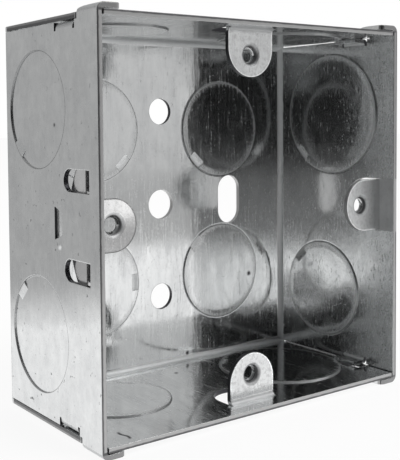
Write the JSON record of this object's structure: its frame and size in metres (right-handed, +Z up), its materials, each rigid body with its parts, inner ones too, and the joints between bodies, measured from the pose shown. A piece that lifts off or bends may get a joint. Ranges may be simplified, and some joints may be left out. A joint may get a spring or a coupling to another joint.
{
  "type": "flush back box",
  "caption": "Square galvanised steel box for a wall recess, with an open front, knockouts, fixing holes, threaded lugs and one sliding lug.",
  "frame": {"origin": "centre of the back panel's outer face, in the middle of the centre fixing hole", "axes": "+X right, +Y from the open front to the back, +Z up"},
  "size_m": [0.072, 0.035, 0.0742],
  "materials": {
    "galvanised_sheet": "hot-dip galvanised sheet with fine rolling streaks",
    "plated_lug": "bright zinc-plated steel"
  },
  "bodies": {
    "box": {"box_shell": "galvanised_sheet"},
    "lug": {"adjustable_lug": "plated_lug"}
  },
  "joints": [
    {"name": "lug_slide", "type": "slide", "parent": "box", "child": "lug", "axis": [0, 0, 1], "range_m": [-0.0011, 0.0011]}
  ]
}
